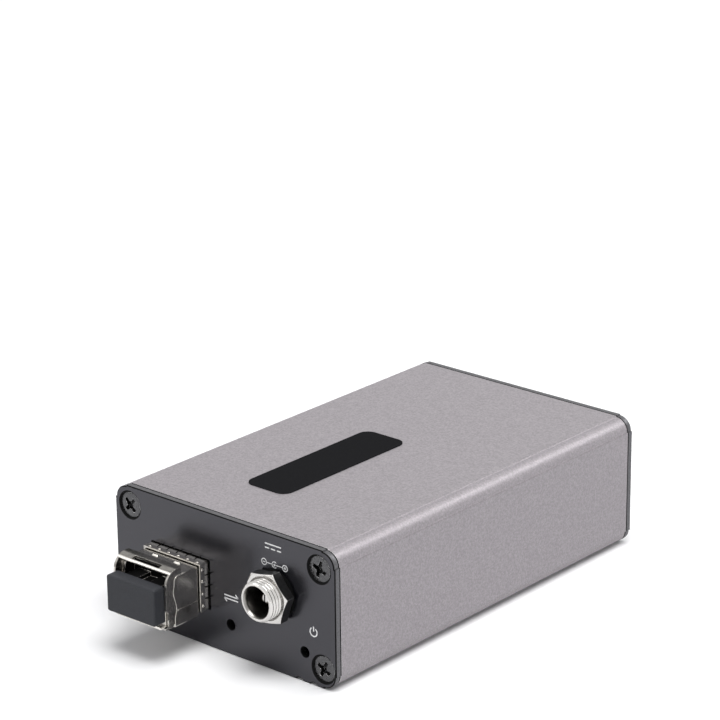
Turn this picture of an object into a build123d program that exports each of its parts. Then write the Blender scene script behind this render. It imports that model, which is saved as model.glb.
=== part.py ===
from build123d import *
import math
import os

# USB fibre extender: an aluminium tube between two black end plates, with a circuit
# board inside and a removable fibre module in a cage at the front.
# Lengths are in millimetres. X is to the right as seen from the front, Y runs from the
# front to the back and Z is up. The origin is the middle of the underside.

# Casing
width = 56.0
height = 27.5
length = 91.0
corner_radius = 3.0
corner_step = 0.25
wall = 1.6
plate_thickness = 1.5
plate_bevel = 0.15
seam_depth = 0.25
seam_inset = 0.3
groove_radius = 1.1
groove_depth = 0.45
groove_from_edge = 9.1
groove_pitch = 3.5

# Corner screws and the channels that they cut their thread in
top_screw_inset = 3.9
bottom_screw_inset = 3.1
screw_from_top = 3.9
screw_from_bottom = 3.9
screw_radius = 1.45
screw_bore_radius = 1.5
screw_hole_radius = 1.65
screw_length = 9.0
screw_head_radius = 2.5
screw_sink_radius = 2.9
screw_sink = 0.05
screw_crown = 0.25
screw_tip = 0.4
screw_recess_length = 3.3
screw_recess_width = 0.8
screw_recess_depth = 1.1
front_screw_turns = (-45, -20, 12, -26)
rear_screw_turns = (30, -10, 55, 5)
channel_radius = 2.6

# Badge on top
label_width = 10.6
label_length = 36.0
label_thickness = 0.15
label_corner = 2.3
label_x = -3.2
label_from_front = 33.2

# Board and the rails that carry it
board_thickness = 1.2
board_side_gap = 0.4
board_end_gap = 0.5
board_corner = 1.0
rail_thickness = 1.0
rail_reach = 1.6
rail_gap = 0.15

# Cage for the fibre module, its spring strip and the cut-out in the front plate
module_from_left = 17.0
module_z = 12.75
cutout_side_gap = 0.4
cutout_top_gap = 0.38
cutout_corner = 0.3
cage_side_gap = 0.3
cage_top_gap = 0.25
cage_end_gap = 0.65
cage_sheet = 0.25
cage_overhang = 2.35
cage_pin_length = 2.0
cage_pin_width = 0.8
cage_pin_hole = 0.55
cage_pin_start = 7.5
cage_pin_pitch = 8.6
cage_pin_rows = 5
cage_vent_radius = 0.5
cage_vent_pitch = 2.0
cage_vent_columns = 5
cage_vent_rows = 8
connector_bay = 10.0
latch_slot_width = 4.0
spring_sheet = 0.1
spring_gap = 0.04
spring_band = 1.15
spring_crest = 0.12
spring_crest_y = 0.6
spring_foot_y = 1.1
spring_reach = 2.9
spring_slit = 0.3
top_fingers = 6
side_fingers = 4
weld_radius = 0.3
weld_height = 0.06

# Host connector at the back of the cage
connector_side_gap = 0.2
connector_height = 6.5
connector_length = 5.5
connector_gap = 1.2
connector_bevel = 0.4
connector_slot_depth = 4.2
tail_count = 10
tail_pitch = 0.8
tail_width = 0.35
tail_length = 1.2
tail_thickness = 0.15

# Fibre module
module_width = 13.4
module_height = 8.5
module_length = 56.5
module_wall = 1.0
module_floor = 1.2
cover_sheet = 0.3
cover_gap = 0.02
cover_skirt = 4.5
ledge_width = 0.9
ledge_length = 26.0
nose_overhang = 10.8
nose_proud = 0.3
nose_rear_gap = 0.35
nose_below = 5.75
nose_above = 4.45
nose_corner = 0.3
cheek_inset = 0.7
cheek_from_plate = 8.95
cheek_wall = 0.5
wave_start = 0.3
wave_hollow = 0.45
wave_hollow_height = 2.5
wave_bulge = 0.3
wave_bulge_height = 6.2
port_pitch = 6.25
port_width = 4.7
port_depth = 8.6
port_drop = 1.0
key_width = 2.6
key_height = 0.75
ridge_width = 3.2
ridge_height = 1.05
roof_thickness = 0.25
ledge_from_plate = 6.5
bulkhead = 2.0
lip_inset = 0.5
lip_reach = 0.8
lip_height = 0.5
side_line_z = 10.4
side_line = 0.2
bump_pitch = 5.7
bump_width = 1.5
bump_length = 0.7
bump_height = 0.3
bump_from_back = 1.0
bump_slope = 30

# Parts inside the module
card_drop = 0.55
card_thickness = 1.0
card_side_gap = 0.3
card_tongue_inset = 0.9
card_clearance = 0.1
card_end_gap = 0.3
card_shoulder_gap = 0.7
card_from_optics = 1.3
pad_length = 2.6
pad_margin = 0.5
pad_thickness = 0.05
sleeve_radius = 1.45
sleeve_length = 6.2
sleeve_gap = 0.05
fibre_bore_radius = 0.65
optics_radius = 2.0
optics_length = 7.0
flex_width = 2.4
flex_thickness = 0.15
flex_overlap = 1.0
driver_width = 5.0
driver_from_front = 8.0

# Bail, and the release strip that it pushes
bail_sheet = 0.5
bail_gap = 0.1
bail_arc = 3.1
bail_arc_from_plate = 7.9
bail_inner_arc = 1.2
bail_top_depth = 1.3
bail_top_sheet = 0.5
bail_back_from_plate = 6.9
bail_front_from_plate = 9.65
bail_slot_width = 7.2
bail_slot_length = 1.0
bail_slot_from_plate = 8.95
bail_bead = 0.36
bail_waist = 0.5
bail_waist_top = 2.9
bail_waist_bottom = 2.2
bail_toe = 0.9
bail_toe_height = 0.35
pivot_from_plate = 9.95
pivot_above_nose = 1.0
pivot_radius = 0.5
pivot_clearance = 0.05
pivot_length = 0.9
strip_width = 3.0
strip_thickness = 0.3
strip_clearance = 0.1
strip_length = 5.6
strip_travel = 1.5
strip_from_plate = 9.0
tab_lift = 0.4
post_width = 2.4
post_length = 3.0
post_height = 0.38
post_from_nose = 1.5
post_clearance = 0.3

# Dust plug
plug_inset = 0.05
plug_height = 7.4
plug_depth = 2.75
plug_gap = 0.05
plug_above_floor = 1.35
plug_clearance = 0.1
plug_pin_length = 6.4
plug_pin_gap = 0.15
plug_pin_floor = 1.2
plug_corner = 0.5
plug_edge = 0.3

# Power socket
jack_from_right = 14.8
jack_z = 15.7
thread_radius = 3.95
thread_pitch = 0.75
thread_depth = 0.35
thread_land = 0.2
jack_bore_radius = 2.85
jack_mouth = 5.25
jack_mouth_bevel = 0.35
jack_mouth_lead = 0.4
jack_lead_depth = 0.9
jack_hole_radius = 4.05
jack_flange_radius = 5.2
jack_flange = 1.2
jack_plug_depth = 9.5
jack_body_width = 10.4
jack_body_corner = 0.6
jack_body_length = 9.5
jack_pin_radius = 1.0
jack_pin_recess = 2.4
pin_fit = 0.02
pin_tail = 1.2
pin_slot = 0.3
pin_slot_depth = 3.0
leaf_width = 1.6
leaf_thickness = 0.3
leaf_drop = 2.4
leaf_rise = 0.6
leaf_front = -2.0
leaf_bend = 0.8
tab_width = 2.2
tab_from_flange = 6.0
nut_across_flats = 9.5
nut_thickness = 2.3
nut_turn = 10.5
nut_bevel = 0.35
nut_bore_bevel = 0.3
nut_clearance = 0.06
washer_radius = 4.9
washer_thickness = 0.6

# Lamps
link_from_jack = 11.4
power_from_right = 7.6
lamp_z = 6.1
lamp_hole_radius = 1.1
lamp_width = 3.0
lamp_height = 1.1
lamp_depth = 1.2
lens_radius = 0.4
lens_reach = 0.35
lens_slope = 20

# Socket at the back
usb_width = 13.1
usb_height = 5.72
usb_depth = 14.0
usb_sheet = 0.3
usb_corner = 0.6
usb_overhang = 0.4
usb_clearance = 0.3
usb_lift = 0.6
usb_leg_inset = 1.6
usb_leg_length = 1.4
usb_fit = 0.05
usb_block = 3.0
usb_tongue_width = 11.0
usb_tongue_thickness = 1.84
usb_tongue_drop = 0.75
usb_tongue_recess = 1.2
usb_tongue_bevel = 0.3
usb_contact_count = 4
usb_contact_pitch = 2.3
usb_contact_width = 1.0
usb_contact_recess = 1.0
usb_contact_thickness = 0.1

# Parts on the board
chip_bevel = 0.2
thin_chip_height = 0.9
thick_chip_height = 1.6
bridge_width = 14.0
bridge_from_right = 19.0
bridge_y = -9.0
hub_width = 9.0
hub_x = 2.0
hub_y = 16.0
memory_width = 5.2
memory_length = 6.0
memory_from_right = 7.5
memory_y = -21.0
crystal_width = 3.2
crystal_length = 5.0
crystal_height = 1.2
crystal_corner = 0.5
inductor_width = 6.6
inductor_height = 3.0
inductor_corner = 0.8
inductor_from_right = 8.0
inductor_rows = (4.0, 13.0)
capacitor_foot = 6.6
capacitor_foot_height = 0.6
capacitor_radius = 3.15
capacitor_height = 5.8
capacitor_corner = 0.5
left_capacitor_inset = 9.0
left_capacitor_rows = (22.0, 31.0)
right_capacitor_inset = 10.0
right_capacitor_row = 26.0
small_part_width = 1.2
small_part_length = 2.0
small_part_height = 0.6
small_part_pitch = 2.4
bridge_row_parts = 6
hub_row_parts = 4
row_gap = 2.2

# Derived widths and places
module_x = module_from_left - width / 2
module_inside = module_width - 2 * module_wall
cage_width = module_width + 2 * (cage_side_gap + cage_sheet)
cage_height = module_height + 2 * (cage_top_gap + cage_sheet)
cage_length = module_length - nose_overhang + cage_overhang + cage_end_gap
cutout_width = cage_width + 2 * cutout_side_gap
cutout_height = cage_height + 2 * cutout_top_gap
nose_width = module_width + 2 * nose_proud
cheek_width = nose_width - 2 * cheek_inset
lip_width = cheek_width - 2 * lip_inset
plug_width = cheek_width - 2 * plug_inset
connector_width = module_inside - 2 * connector_side_gap
card_width = module_inside - 2 * card_side_gap
card_tongue_width = connector_width - 2 * card_tongue_inset
jack_x = width / 2 - jack_from_right
link_x = jack_x - link_from_jack
power_x = width / 2 - power_from_right
inductor_x = width / 2 - inductor_from_right
bridge_x = width / 2 - bridge_from_right
memory_x = width / 2 - memory_from_right
capacitor_points = [
    *[(left_capacitor_inset - width / 2, row) for row in left_capacitor_rows],
    (width / 2 - right_capacitor_inset, right_capacitor_row),
]
front_y = -length / 2
back_y = length / 2
tube_front = front_y + plate_thickness
tube_back = back_y - plate_thickness
tube_length = tube_back - tube_front
inner_width = width - 2 * wall
inner_height = height - 2 * wall
board_top = module_z - cage_height / 2
board_bottom = board_top - board_thickness
board_width = inner_width - 2 * board_side_gap
board_front = tube_front + board_end_gap
board_length = tube_length - 2 * board_end_gap
screw_points = [
    (-width / 2 + top_screw_inset, height - screw_from_top),
    (width / 2 - top_screw_inset, height - screw_from_top),
    (-width / 2 + bottom_screw_inset, screw_from_bottom),
    (width / 2 - bottom_screw_inset, screw_from_bottom),
]
front_screw_places = [Location((x, front_y, z), (90, 0, 0)) for x, z in screw_points]
rear_screw_places = [Location((x, back_y, z), (-90, 0, 0)) for x, z in screw_points]
groove_points = [
    (side * (width / 2 - groove_from_edge + step * groove_pitch), groove_depth - groove_radius)
    for side in (-1, 1)
    for step in (0, 1)
]
cage_front = front_y - cage_overhang
cage_back = cage_front + cage_length
cage_top = board_top + cage_height
cage_pin_points = [
    (module_x + side * (cage_width - cage_sheet) / 2, cage_front + cage_pin_start + row * cage_pin_pitch)
    for side in (-1, 1)
    for row in range(cage_pin_rows)
]
connector_back = cage_back - cage_sheet - connector_gap
connector_front = connector_back - connector_length
module_bottom = module_z - module_height / 2
module_top = module_z + module_height / 2
floor_top = module_bottom + module_floor
cover_bottom = module_top - cover_sheet
skirt_bottom = module_top - cover_skirt
nose_front = front_y - nose_overhang
nose_back = cage_front - nose_rear_gap
nose_bottom = module_z - nose_below
nose_top = module_z + nose_above
nose_round = bail_inner_arc - bail_gap - pivot_clearance
module_rear = nose_front + module_length
cheek_back = front_y - cheek_from_plate
void_back = front_y - ledge_from_plate
port_points = [module_x - port_pitch / 2, module_x + port_pitch / 2]
port_z = module_z - port_drop
port_top = port_z + port_width / 2
roof_top = port_top + roof_thickness
bulkhead_back = nose_front + port_depth + bulkhead
sleeve_front = nose_front + port_depth - sleeve_length
optics_back = bulkhead_back + optics_length
card_front = optics_back + card_from_optics
card_back = connector_front + connector_slot_depth - card_end_gap
card_shoulder = connector_front - card_shoulder_gap
card_z = module_z - card_drop
card_top = card_z + card_thickness / 2
card_bottom = card_z - card_thickness / 2
post_front = nose_back + post_from_nose
post_back = post_front + post_length
strip_front = front_y - strip_from_plate
strip_room = strip_length + strip_travel + 2 * strip_clearance
tab_room = strip_thickness + strip_travel + 2 * strip_clearance
pivot_y = front_y - pivot_from_plate
pivot_z = nose_bottom + pivot_above_nose
wave_top = nose_top - nose_round
usb_z = board_top + usb_lift + usb_height / 2

os.makedirs("parts", exist_ok=True)


def facing_front(y):
    """A drawing plane across the casing, seen from the front: X to the right, Z up."""
    return Plane(origin=(0, y, 0), x_dir=(1, 0, 0), z_dir=(0, -1, 0))


def seen_from_right(x):
    """A drawing plane along the casing, seen from its right side: Y to the right, Z up."""
    return Plane(origin=(x, 0, 0), x_dir=(0, 1, 0), z_dir=(1, 0, 0))


def casing_outline(inset=0.0):
    """The section shared by the tube and both plates, with its stepped corner arcs."""
    with BuildSketch() as outline:
        with Locations((0, height / 2)):
            Rectangle(width - 2 * inset, height - 2 * corner_radius)
            Rectangle(width - 2 * corner_radius, height - 2 * inset)
            with GridLocations(width - 2 * corner_radius, height - 2 * corner_radius, 2, 2):
                Circle(corner_radius - corner_step - inset)
        with Locations(*groove_points):
            Circle(groove_radius + inset, mode=Mode.SUBTRACT)
    return outline.sketch


casing_section = casing_outline()
seam_section = casing_outline(seam_inset)

# Aluminium tube: one extrusion with a rail above and below each edge of the board and a
# round screw channel in each corner.
with BuildPart() as housing_extrusion:
    with BuildSketch(facing_front(tube_front)):
        add(casing_section)
        with Locations((0, height / 2)):
            Rectangle(inner_width, inner_height, mode=Mode.SUBTRACT)
        with Locations(*screw_points):
            Circle(channel_radius)
        for side in (-1, 1):
            rail_x = side * (inner_width / 2 - rail_reach / 2 + rail_gap)
            with Locations((rail_x, board_bottom - rail_thickness / 2)):
                Rectangle(rail_reach + 2 * rail_gap, rail_thickness)
            with Locations((rail_x, board_top + rail_gap + rail_thickness / 2)):
                Rectangle(rail_reach + 2 * rail_gap, rail_thickness)
        with Locations(*screw_points):
            Circle(screw_bore_radius, mode=Mode.SUBTRACT)
    extrude(amount=-tube_length)
housing_extrusion.part.label = "housing_extrusion"
export_step(housing_extrusion.part, "parts/housing_extrusion.step")

# Front plate: a black plate with the module cut-out, the socket hole, two lamp holes and a
# countersink at each corner. A rebate behind it leaves the dark seam to the tube.
with BuildPart() as front_plate:
    with BuildSketch(facing_front(front_y)):
        add(casing_section)
    extrude(amount=-(plate_thickness - seam_depth))
    chamfer(front_plate.faces().sort_by(Axis.Y)[0].outer_wire().edges(), plate_bevel)
    with BuildSketch(facing_front(tube_front)):
        add(seam_section)
    extrude(amount=seam_depth)
    with BuildSketch(facing_front(front_y)):
        with Locations((module_x, module_z)):
            RectangleRounded(cutout_width, cutout_height, cutout_corner)
        with Locations((jack_x, jack_z)):
            Circle(jack_hole_radius)
        with Locations((link_x, lamp_z), (power_x, lamp_z)):
            Circle(lamp_hole_radius)
    extrude(amount=-plate_thickness, mode=Mode.SUBTRACT)
    with Locations(*front_screw_places):
        CounterSinkHole(screw_hole_radius, screw_sink_radius, 2 * plate_thickness, 90)
front_plate.part.label = "front_plate"
export_step(front_plate.part, "parts/front_plate.step")

# Back plate: the same outline, with one opening for the socket.
with BuildPart() as rear_plate:
    with BuildSketch(facing_front(back_y)):
        add(casing_section)
    extrude(amount=plate_thickness - seam_depth)
    chamfer(rear_plate.faces().sort_by(Axis.Y)[-1].outer_wire().edges(), plate_bevel)
    with BuildSketch(facing_front(tube_back)):
        add(seam_section)
    extrude(amount=-seam_depth)
    with BuildSketch(facing_front(back_y)):
        with Locations((0, usb_z)):
            Rectangle(usb_width + 2 * usb_clearance, usb_height + 2 * usb_clearance)
    extrude(amount=plate_thickness, mode=Mode.SUBTRACT)
    with Locations(*rear_screw_places):
        CounterSinkHole(screw_hole_radius, screw_sink_radius, 2 * plate_thickness, 90)
rear_plate.part.label = "rear_plate"
export_step(rear_plate.part, "parts/rear_plate.step")

# One raised countersunk screw with a cross recess, the crown of its head on the XY plane.
head_edge = screw_head_radius - screw_sink_radius + 2 * screw_sink
cone_depth = screw_head_radius - screw_radius
with BuildPart() as one_screw:
    with BuildSketch(Plane.XZ):
        with BuildLine():
            TangentArc((0, 0), (screw_head_radius, -screw_crown), tangent=(1, 0))
            Polyline(
                (screw_head_radius, -screw_crown),
                (screw_head_radius, head_edge),
                (screw_radius, head_edge - cone_depth),
                (screw_radius, -screw_length + screw_tip),
                (screw_radius - screw_tip, -screw_length),
                (0, -screw_length),
                (0, 0),
            )
        make_face()
    revolve(axis=Axis.Z)
    with BuildSketch(Plane.XY):
        Rectangle(screw_recess_length, screw_recess_width)
        Rectangle(screw_recess_width, screw_recess_length)
        Circle(screw_recess_width)
    extrude(amount=-screw_recess_depth, mode=Mode.SUBTRACT)

with BuildPart() as front_screws:
    for place, turn in zip(front_screw_places, front_screw_turns):
        with Locations(place * Location((0, 0, -screw_sink), (0, 0, turn))):
            add(one_screw.part)
front_screws.part.label = "front_screws"
export_step(front_screws.part, "parts/front_screws.step")

with BuildPart() as rear_screws:
    for place, turn in zip(rear_screw_places, rear_screw_turns):
        with Locations(place * Location((0, 0, -screw_sink), (0, 0, turn))):
            add(one_screw.part)
rear_screws.part.label = "rear_screws"
export_step(rear_screws.part, "parts/rear_screws.step")

# Bare badge stuck on top of the tube.
with BuildPart() as top_label:
    with BuildSketch(Plane.XY.offset(height)):
        with Locations((label_x, front_y + label_from_front)):
            RectangleRounded(label_width, label_length, label_corner)
    extrude(amount=label_thickness)
top_label.part.label = "top_label"
export_step(top_label.part, "parts/top_label.step")

# Circuit board, carried in the tube's rails.
with BuildPart() as circuit_board:
    with BuildSketch(Plane.XY.offset(board_bottom)):
        with Locations((0, board_front + board_length / 2)):
            RectangleRounded(board_width, board_length, board_corner)
        with Locations(*cage_pin_points):
            Circle(cage_pin_hole, mode=Mode.SUBTRACT)
    extrude(amount=board_thickness)
circuit_board.part.label = "circuit_board"
export_step(circuit_board.part, "parts/circuit_board.step")

# Module cage: a folded sheet box, open at the front, with a slot for the latch post in its
# floor, vents in its roof, and press-in pins along both sides.
latch_slot_length = post_back + post_clearance - cage_front
with BuildPart() as module_cage:
    with BuildSketch(facing_front(cage_front)):
        with Locations((module_x, module_z)):
            Rectangle(cage_width, cage_height)
            Rectangle(cage_width - 2 * cage_sheet, cage_height - 2 * cage_sheet, mode=Mode.SUBTRACT)
    extrude(amount=-cage_length)
    with BuildSketch(facing_front(cage_back)):
        with Locations((module_x, module_z)):
            Rectangle(cage_width, cage_height)
    extrude(amount=cage_sheet)
    with BuildSketch(Plane.XY.offset(board_top)):
        with Locations((module_x, cage_front + latch_slot_length / 2)):
            Rectangle(latch_slot_width, latch_slot_length)
        with Locations((module_x, cage_back - connector_bay / 2)):
            Rectangle(cage_width - 2 * cage_sheet, connector_bay)
    extrude(amount=cage_sheet, mode=Mode.SUBTRACT)
    with BuildSketch(Plane.XY.offset(board_top + cage_height)):
        with Locations((module_x, cage_back - cage_vent_pitch * cage_vent_rows / 2 - connector_bay)):
            with GridLocations(cage_vent_pitch, cage_vent_pitch, cage_vent_columns, cage_vent_rows):
                Circle(cage_vent_radius)
    extrude(amount=-cage_sheet, mode=Mode.SUBTRACT)
    with BuildSketch(Plane.XY.offset(board_top)):
        with Locations(*cage_pin_points):
            Rectangle(cage_sheet, cage_pin_width)
    extrude(amount=-cage_pin_length)
module_cage.part.label = "module_cage"
export_step(module_cage.part, "parts/module_cage.step")


# Shielding strip: a band round the cage mouth with a row of spring fingers on each side,
# spot-welded to the cage.
def spring_finger(finger_width):
    """A finger that lies on z = 0 and starts from the band's back edge at y = 0."""
    low = spring_gap
    with BuildPart() as finger:
        with BuildSketch(seen_from_right(-finger_width / 2)):
            with BuildLine():
                Polyline(
                    (-spring_band / 2, low),
                    (0, low),
                    (spring_crest_y, low + spring_crest),
                    (spring_foot_y, low),
                    (spring_reach, low),
                    (spring_reach, low + spring_sheet),
                    (spring_foot_y, low + spring_sheet),
                    (spring_crest_y, low + spring_crest + spring_sheet),
                    (0, low + spring_sheet),
                    (-spring_band / 2, low + spring_sheet),
                    close=True,
                )
            make_face()
        extrude(amount=finger_width)
    return finger.part


top_pitch = cage_width / top_fingers
side_pitch = cage_height / side_fingers
top_finger = spring_finger(top_pitch - spring_slit)
side_finger = spring_finger(side_pitch - spring_slit)
band_back = cage_front + spring_band
top_finger_x = [module_x + (i + 0.5) * top_pitch - cage_width / 2 for i in range(top_fingers)]
side_finger_z = [module_z + (i + 0.5) * side_pitch - cage_height / 2 for i in range(side_fingers)]
top_places = [Location((x, band_back, cage_top)) for x in top_finger_x]
bottom_places = [Location((x, band_back, board_top), (0, 180, 0)) for x in top_finger_x]
right_places = [Location((module_x + cage_width / 2, band_back, z), (0, 90, 0)) for z in side_finger_z]
left_places = [Location((module_x - cage_width / 2, band_back, z), (0, -90, 0)) for z in side_finger_z]
with BuildPart() as cage_spring_fingers:
    with BuildSketch(facing_front(cage_front)):
        with Locations((module_x, module_z)):
            Rectangle(
                cage_width + 2 * (spring_gap + spring_sheet),
                cage_height + 2 * (spring_gap + spring_sheet),
            )
            Rectangle(cage_width + 2 * spring_gap, cage_height + 2 * spring_gap, mode=Mode.SUBTRACT)
    extrude(amount=-spring_band)
    with Locations(*top_places, *bottom_places):
        add(top_finger)
    with Locations(*left_places, *right_places):
        add(side_finger)
    with Locations(*top_places, *bottom_places, *left_places, *right_places):
        with Locations((0, -spring_band / 2, 0)):
            Cylinder(
                weld_radius,
                spring_gap + spring_sheet + weld_height,
                align=(Align.CENTER, Align.CENTER, Align.MIN),
            )
cage_spring_fingers.part.label = "cage_spring_fingers"
export_step(cage_spring_fingers.part, "parts/cage_spring_fingers.step")

# Host connector at the back of the cage, with the slot that takes the module's board.
with BuildPart() as cage_connector:
    with BuildSketch(facing_front(connector_back)):
        with Locations((module_x, board_top + connector_height / 2)):
            Rectangle(connector_width, connector_height)
    extrude(amount=connector_length)
    chamfer(cage_connector.faces().sort_by(Axis.Y)[0].edges(), connector_bevel)
    with BuildSketch(facing_front(connector_front)):
        with Locations((module_x, card_z)):
            Rectangle(card_tongue_width + 2 * card_clearance, card_thickness + 2 * card_clearance)
    extrude(amount=-connector_slot_depth, mode=Mode.SUBTRACT)
cage_connector.part.label = "cage_connector"
export_step(cage_connector.part, "parts/cage_connector.step")

# Solder tails of the host connector, in two rows on the board.
with BuildPart() as connector_tails:
    with BuildSketch(Plane.XY.offset(board_top)):
        with Locations((module_x, connector_front - tail_length / 2)):
            with GridLocations(tail_pitch, 1, tail_count, 1):
                Rectangle(tail_width, tail_length)
        with Locations((module_x, connector_back + connector_gap / 4)):
            with GridLocations(tail_pitch, 1, tail_count, 1):
                Rectangle(tail_width, connector_gap / 2)
    extrude(amount=tail_thickness)
connector_tails.part.label = "connector_tails"
export_step(connector_tails.part, "parts/connector_tails.step")

def side_wave(y):
    """The wavy edge that the nose and the bail's arms share, drawn upwards at y."""
    Spline(
        (y, pivot_z + wave_start),
        (y + wave_hollow, pivot_z + wave_hollow_height),
        (y - wave_bulge, pivot_z + wave_bulge_height),
        (y, wave_top),
        tangents=((0, 1), (0, 1)),
    )


# Fibre module, lower half: a die-cast tray with the nose, the two fibre ports, the pivot
# holes for the bail, the channel for the release strip and the latch post.
upper_width = module_width - 2 * cover_sheet - 2 * cover_gap
with BuildPart() as module_base:
    with BuildSketch(facing_front(nose_back)):
        with Locations((module_x, (module_bottom + skirt_bottom) / 2)):
            Rectangle(module_width, skirt_bottom - module_bottom)
        with Locations((module_x, (module_bottom + cover_bottom) / 2)):
            Rectangle(upper_width, cover_bottom - module_bottom)
    extrude(amount=-(module_rear - nose_back))
    with BuildSketch(facing_front(bulkhead_back)):
        with Locations((module_x, (floor_top + module_top) / 2)):
            Rectangle(module_inside, module_top - floor_top)
    extrude(amount=-(module_rear - bulkhead_back), mode=Mode.SUBTRACT)
    with BuildSketch(Plane.XY.offset(module_bottom)):
        with Locations((module_x, module_rear - connector_bay / 2)):
            Rectangle(module_inside, connector_bay)
    extrude(amount=module_floor, mode=Mode.SUBTRACT)
    with BuildSketch(Plane.XY.offset(floor_top)):
        for side in (-1, 1):
            with Locations((module_x + side * (module_inside - ledge_width) / 2, card_front + ledge_length / 2)):
                Rectangle(ledge_width, ledge_length)
    extrude(amount=card_bottom - floor_top)
    with BuildSketch(facing_front(nose_back)):
        with Locations((module_x, (nose_bottom + nose_top) / 2)):
            RectangleRounded(nose_width, nose_top - nose_bottom, nose_corner)
    extrude(amount=nose_back - cheek_back + 2 * wave_bulge)
    with BuildSketch(seen_from_right(module_x - nose_width / 2)):
        with BuildLine():
            side_wave(cheek_back)
            CenterArc((cheek_back + nose_round, wave_top), nose_round, 180, -90)
            Polyline(
                (cheek_back + nose_round, nose_top),
                (cheek_back - 2 * wave_bulge, nose_top),
                (cheek_back - 2 * wave_bulge, nose_bottom),
                (cheek_back, nose_bottom),
                (cheek_back, pivot_z + wave_start),
            )
        make_face()
    extrude(amount=nose_width, mode=Mode.SUBTRACT)
    with BuildSketch(facing_front(void_back)):
        with Locations((module_x, (nose_bottom + roof_top) / 2)):
            Rectangle(cheek_width, roof_top - nose_bottom)
    extrude(amount=void_back - nose_front)
    with BuildSketch(facing_front(nose_front)):
        with Locations((module_x, (roof_top + nose_top + nose_corner) / 2)):
            Rectangle(cheek_width - 2 * cheek_wall, nose_top + nose_corner - roof_top)
    extrude(amount=-(void_back - nose_front), mode=Mode.SUBTRACT)
    with BuildSketch(facing_front(nose_front)):
        with Locations(*[(x, port_top + ridge_height / 2) for x in port_points]):
            Rectangle(ridge_width, ridge_height)
    extrude(amount=-(void_back - nose_front))
    with BuildSketch(facing_front(nose_front)):
        with Locations(*[(x, port_z) for x in port_points]):
            Rectangle(port_width, port_width)
    extrude(amount=-port_depth, mode=Mode.SUBTRACT)
    with BuildSketch(facing_front(nose_front)):
        with Locations(*[(x, port_top + key_height / 2) for x in port_points]):
            Rectangle(key_width, key_height)
    extrude(amount=-(void_back - nose_front), mode=Mode.SUBTRACT)
    with BuildSketch(facing_front(nose_front)):
        with Locations(*[(x, port_z) for x in port_points]):
            Circle(sleeve_radius + sleeve_gap)
    extrude(amount=-(bulkhead_back - nose_front), mode=Mode.SUBTRACT)
    with BuildSketch(facing_front(nose_front)):
        with Locations((module_x, nose_bottom + lip_height / 2)):
            Rectangle(lip_width, lip_height)
    extrude(amount=lip_reach)
    with BuildSketch(seen_from_right(module_x - cheek_width / 2)):
        with Locations((pivot_y, pivot_z)):
            Circle(pivot_radius + pivot_clearance)
    extrude(amount=pivot_length + bail_gap + pivot_clearance, mode=Mode.SUBTRACT)
    with BuildSketch(seen_from_right(module_x + cheek_width / 2)):
        with Locations((pivot_y, pivot_z)):
            Circle(pivot_radius + pivot_clearance)
    extrude(amount=-(pivot_length + bail_gap + pivot_clearance), mode=Mode.SUBTRACT)
    with BuildSketch(Plane.XY.offset(module_bottom)):
        with Locations((module_x, strip_front - strip_clearance + strip_room / 2)):
            Rectangle(strip_width + 2 * strip_clearance, strip_room)
    extrude(amount=strip_thickness + 2 * strip_clearance, mode=Mode.SUBTRACT)
    with BuildSketch(Plane.XY.offset(nose_bottom)):
        with Locations((module_x, strip_front - strip_clearance + tab_room / 2)):
            Rectangle(strip_width + 2 * strip_clearance, tab_room)
    extrude(amount=module_bottom - nose_bottom + strip_clearance, mode=Mode.SUBTRACT)
    with BuildSketch(Plane.XY.offset(module_bottom)):
        with BuildLine():
            Polyline(
                (module_x - post_width / 2, post_back),
                (module_x + post_width / 2, post_back),
                (module_x, post_front),
                close=True,
            )
        make_face()
    extrude(amount=-post_height)
    for side in (-1, 1):
        with BuildSketch(seen_from_right(module_x + side * nose_width / 2)):
            with Locations(((cheek_back + nose_back) / 2, side_line_z)):
                Rectangle(nose_back - cheek_back, side_line)
        extrude(amount=-side * side_line / 2, mode=Mode.SUBTRACT)
    with BuildSketch(Plane.XY.offset(nose_top)):
        with Locations((module_x, nose_back - bump_from_back)):
            with GridLocations(bump_pitch, 1, 2, 1):
                Rectangle(bump_width, bump_length)
    extrude(amount=bump_height, taper=bump_slope)
module_base.part.label = "module_base"
export_step(module_base.part, "parts/module_base.step")

# Folded sheet cover over the module's tray.
with BuildPart() as module_cover:
    with BuildSketch(facing_front(nose_back)):
        with Locations((module_x, (skirt_bottom + module_top) / 2)):
            Rectangle(module_width, module_top - skirt_bottom)
        with Locations((module_x, (skirt_bottom + cover_bottom) / 2)):
            Rectangle(module_width - 2 * cover_sheet, cover_bottom - skirt_bottom, mode=Mode.SUBTRACT)
    extrude(amount=-(module_rear - nose_back))
module_cover.part.label = "module_cover"
export_step(module_cover.part, "parts/module_cover.step")

# The module's own board, with a narrow tongue that plugs into the host connector.
with BuildPart() as module_board:
    with BuildSketch(Plane.XY.offset(card_bottom)):
        with Locations((module_x, (card_front + card_shoulder) / 2)):
            Rectangle(card_width, card_shoulder - card_front)
        with Locations((module_x, (card_front + card_back) / 2)):
            Rectangle(card_tongue_width, card_back - card_front)
    extrude(amount=card_thickness)
module_board.part.label = "module_board"
export_step(module_board.part, "parts/module_board.step")

# Gold contact pads on both faces of the tongue.
with BuildPart() as module_edge_contacts:
    for face_z, direction in ((card_top, 1), (card_bottom, -1)):
        with BuildSketch(Plane.XY.offset(face_z)):
            with Locations((module_x, card_back - pad_margin - pad_length / 2)):
                with GridLocations(tail_pitch, 1, tail_count, 1):
                    Rectangle(tail_width, pad_length)
        extrude(amount=direction * pad_thickness)
module_edge_contacts.part.label = "module_edge_contacts"
export_step(module_edge_contacts.part, "parts/module_edge_contacts.step")


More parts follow.
